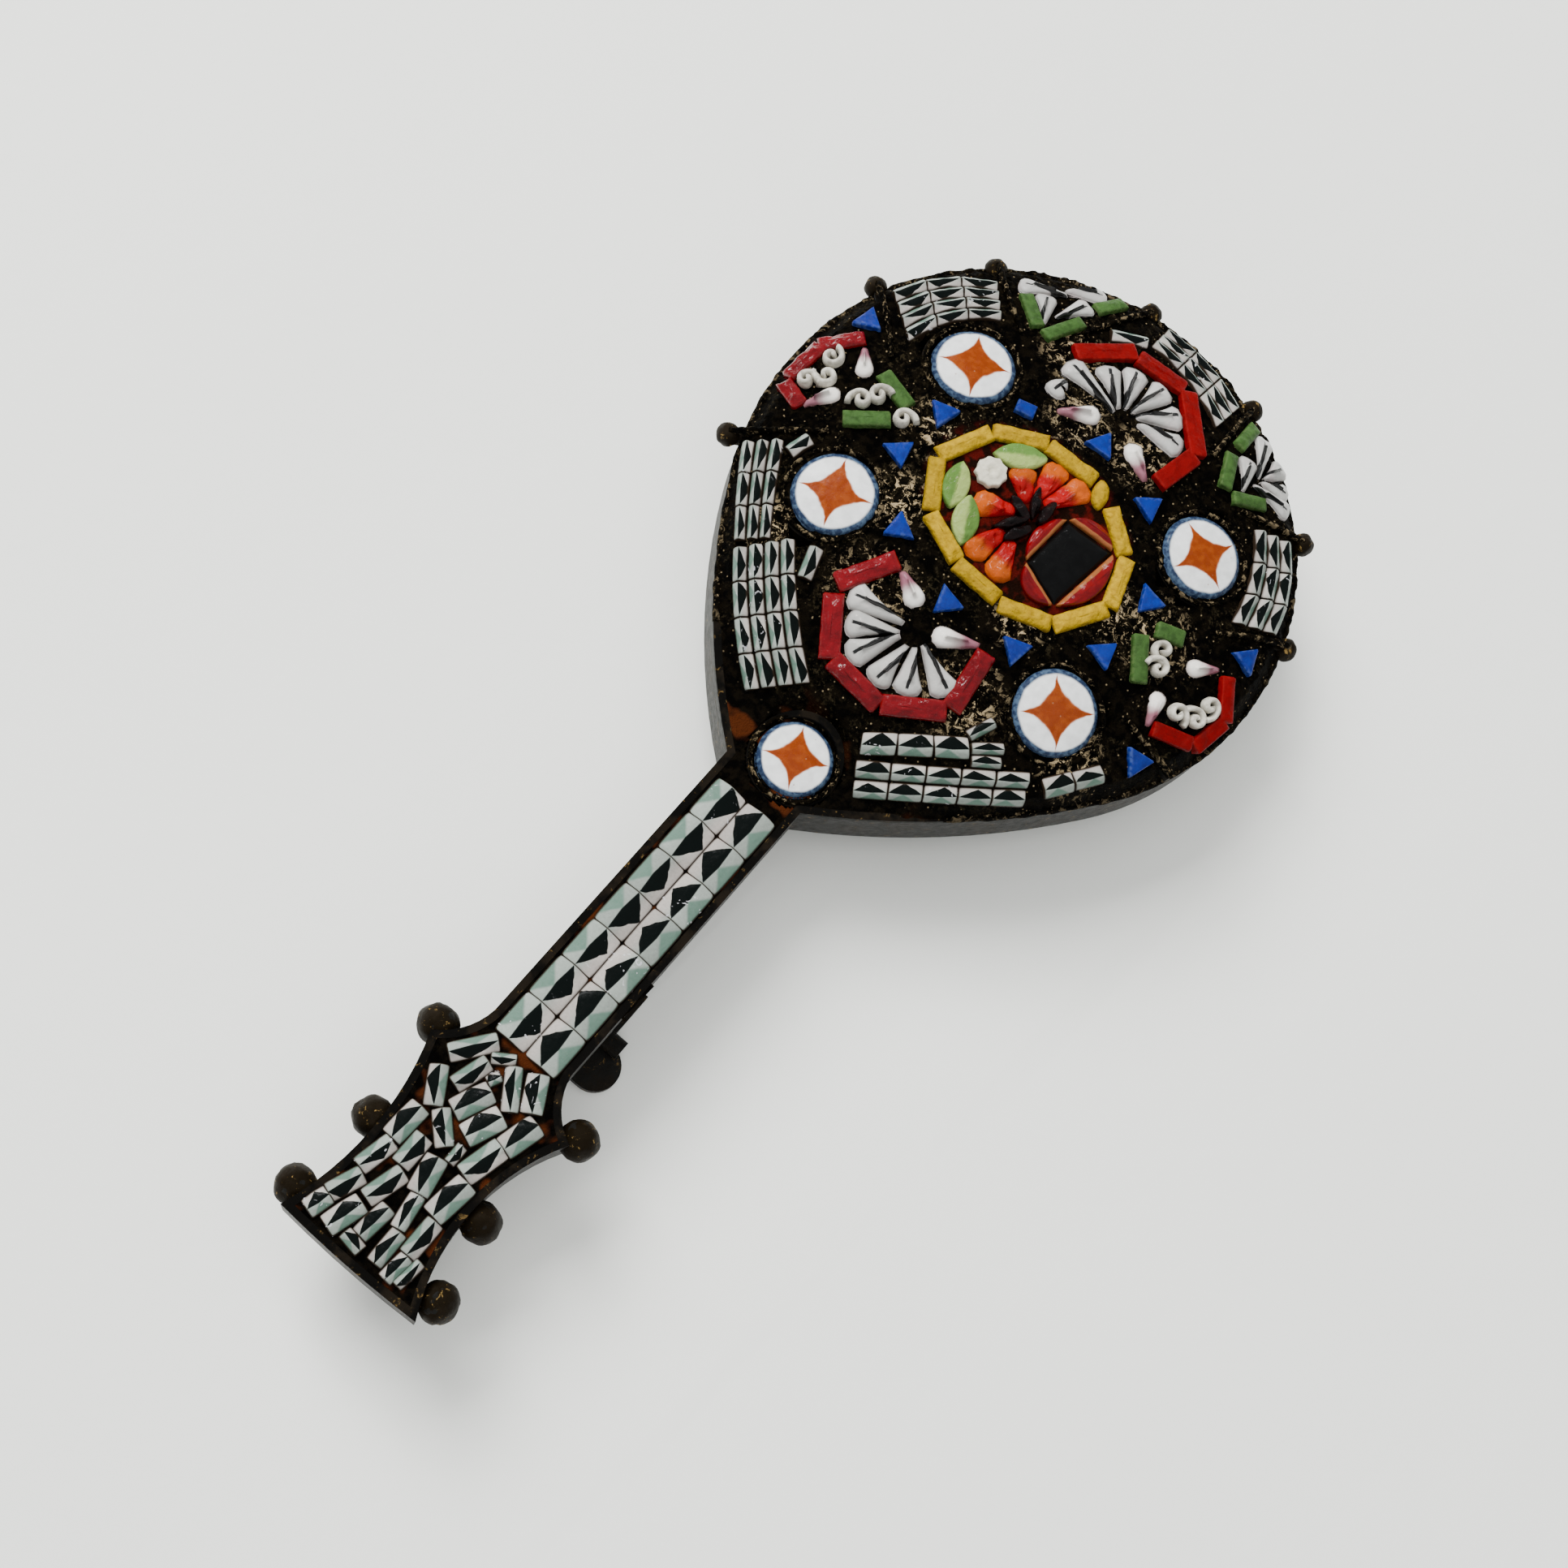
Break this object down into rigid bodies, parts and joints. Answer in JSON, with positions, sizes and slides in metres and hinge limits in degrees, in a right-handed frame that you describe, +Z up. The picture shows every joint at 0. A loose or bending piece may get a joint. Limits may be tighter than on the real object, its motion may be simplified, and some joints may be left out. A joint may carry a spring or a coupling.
{
  "type": "micromosaic brooch",
  "caption": "Mandolin-shaped micromosaic brooch: an oxidised metal case with soldered balls, filled with flower, star and shell glass tesserae, and a pin on the back.",
  "frame": {"origin": "centre of the case's footprint, at the level of the surface it lies on", "axes": "+Y from the peg head to the far end of the round body, +X to the right seen from the front, +Z up through the mosaic"},
  "size_m": [0.0244, 0.0528, 0.008],
  "materials": {
    "oxidised_brass": "dark oxidised, brushed",
    "pin_wire": "drawn wire, satin",
    "dark_cement": "gritty, with resin specks",
    "mustard_glass": "opaque, fire polished",
    "black_glass": "opaque, glossy",
    "red_glass": "opaque, glossy",
    "orange_red_glass": "opaque, glossy",
    "green_glass": "opaque, glossy",
    "white_glass": "opaque, glossy",
    "blue_glass": "opaque, glossy",
    "rose_white_glass": "opaque, shaded",
    "cane_glass": "patterned cane, glossy",
    "star_glass": "star cane, glossy"
  },
  "bodies": {
    "root": {"case": "oxidised_brass", "cement": "dark_cement", "pin_stem": "pin_wire", "medallion_bars": "mustard_glass", "medallion_disc": "black_glass", "medallion_crescents": "red_glass", "medallion_petals": "orange_red_glass", "medallion_stamens": "black_glass", "medallion_leaves": "green_glass", "medallion_flower": "white_glass", "blue_triangles": "blue_glass", "near_shell_bars": "red_glass", "near_shell_petals": "white_glass", "near_shell_drops": "rose_white_glass", "far_shell_bars": "red_glass", "far_shell_petals": "white_glass", "far_shell_drops": "rose_white_glass", "left_cell_bars": "red_glass", "left_cell_green_bars": "green_glass", "left_cell_drops": "rose_white_glass", "left_cell_curls": "white_glass", "right_cell_bars": "red_glass", "right_cell_green_bars": "green_glass", "right_cell_drops": "rose_white_glass", "right_cell_curls": "white_glass", "left_flower_leaves": "green_glass", "left_flower_petals": "orange_red_glass", "right_flower_leaves": "green_glass", "right_flower_petals": "orange_red_glass", "neck_canes": "cane_glass", "head_canes": "cane_glass", "near_left_canes": "cane_glass", "near_right_canes": "cane_glass", "far_left_canes": "cane_glass", "far_right_canes": "cane_glass", "far_end_canes": "cane_glass", "star_disc_near_left": "star_glass", "star_disc_near_right": "star_glass", "star_disc_far_left": "star_glass", "star_disc_far_right": "star_glass", "star_disc_neck": "star_glass"}
  },
  "joints": []
}
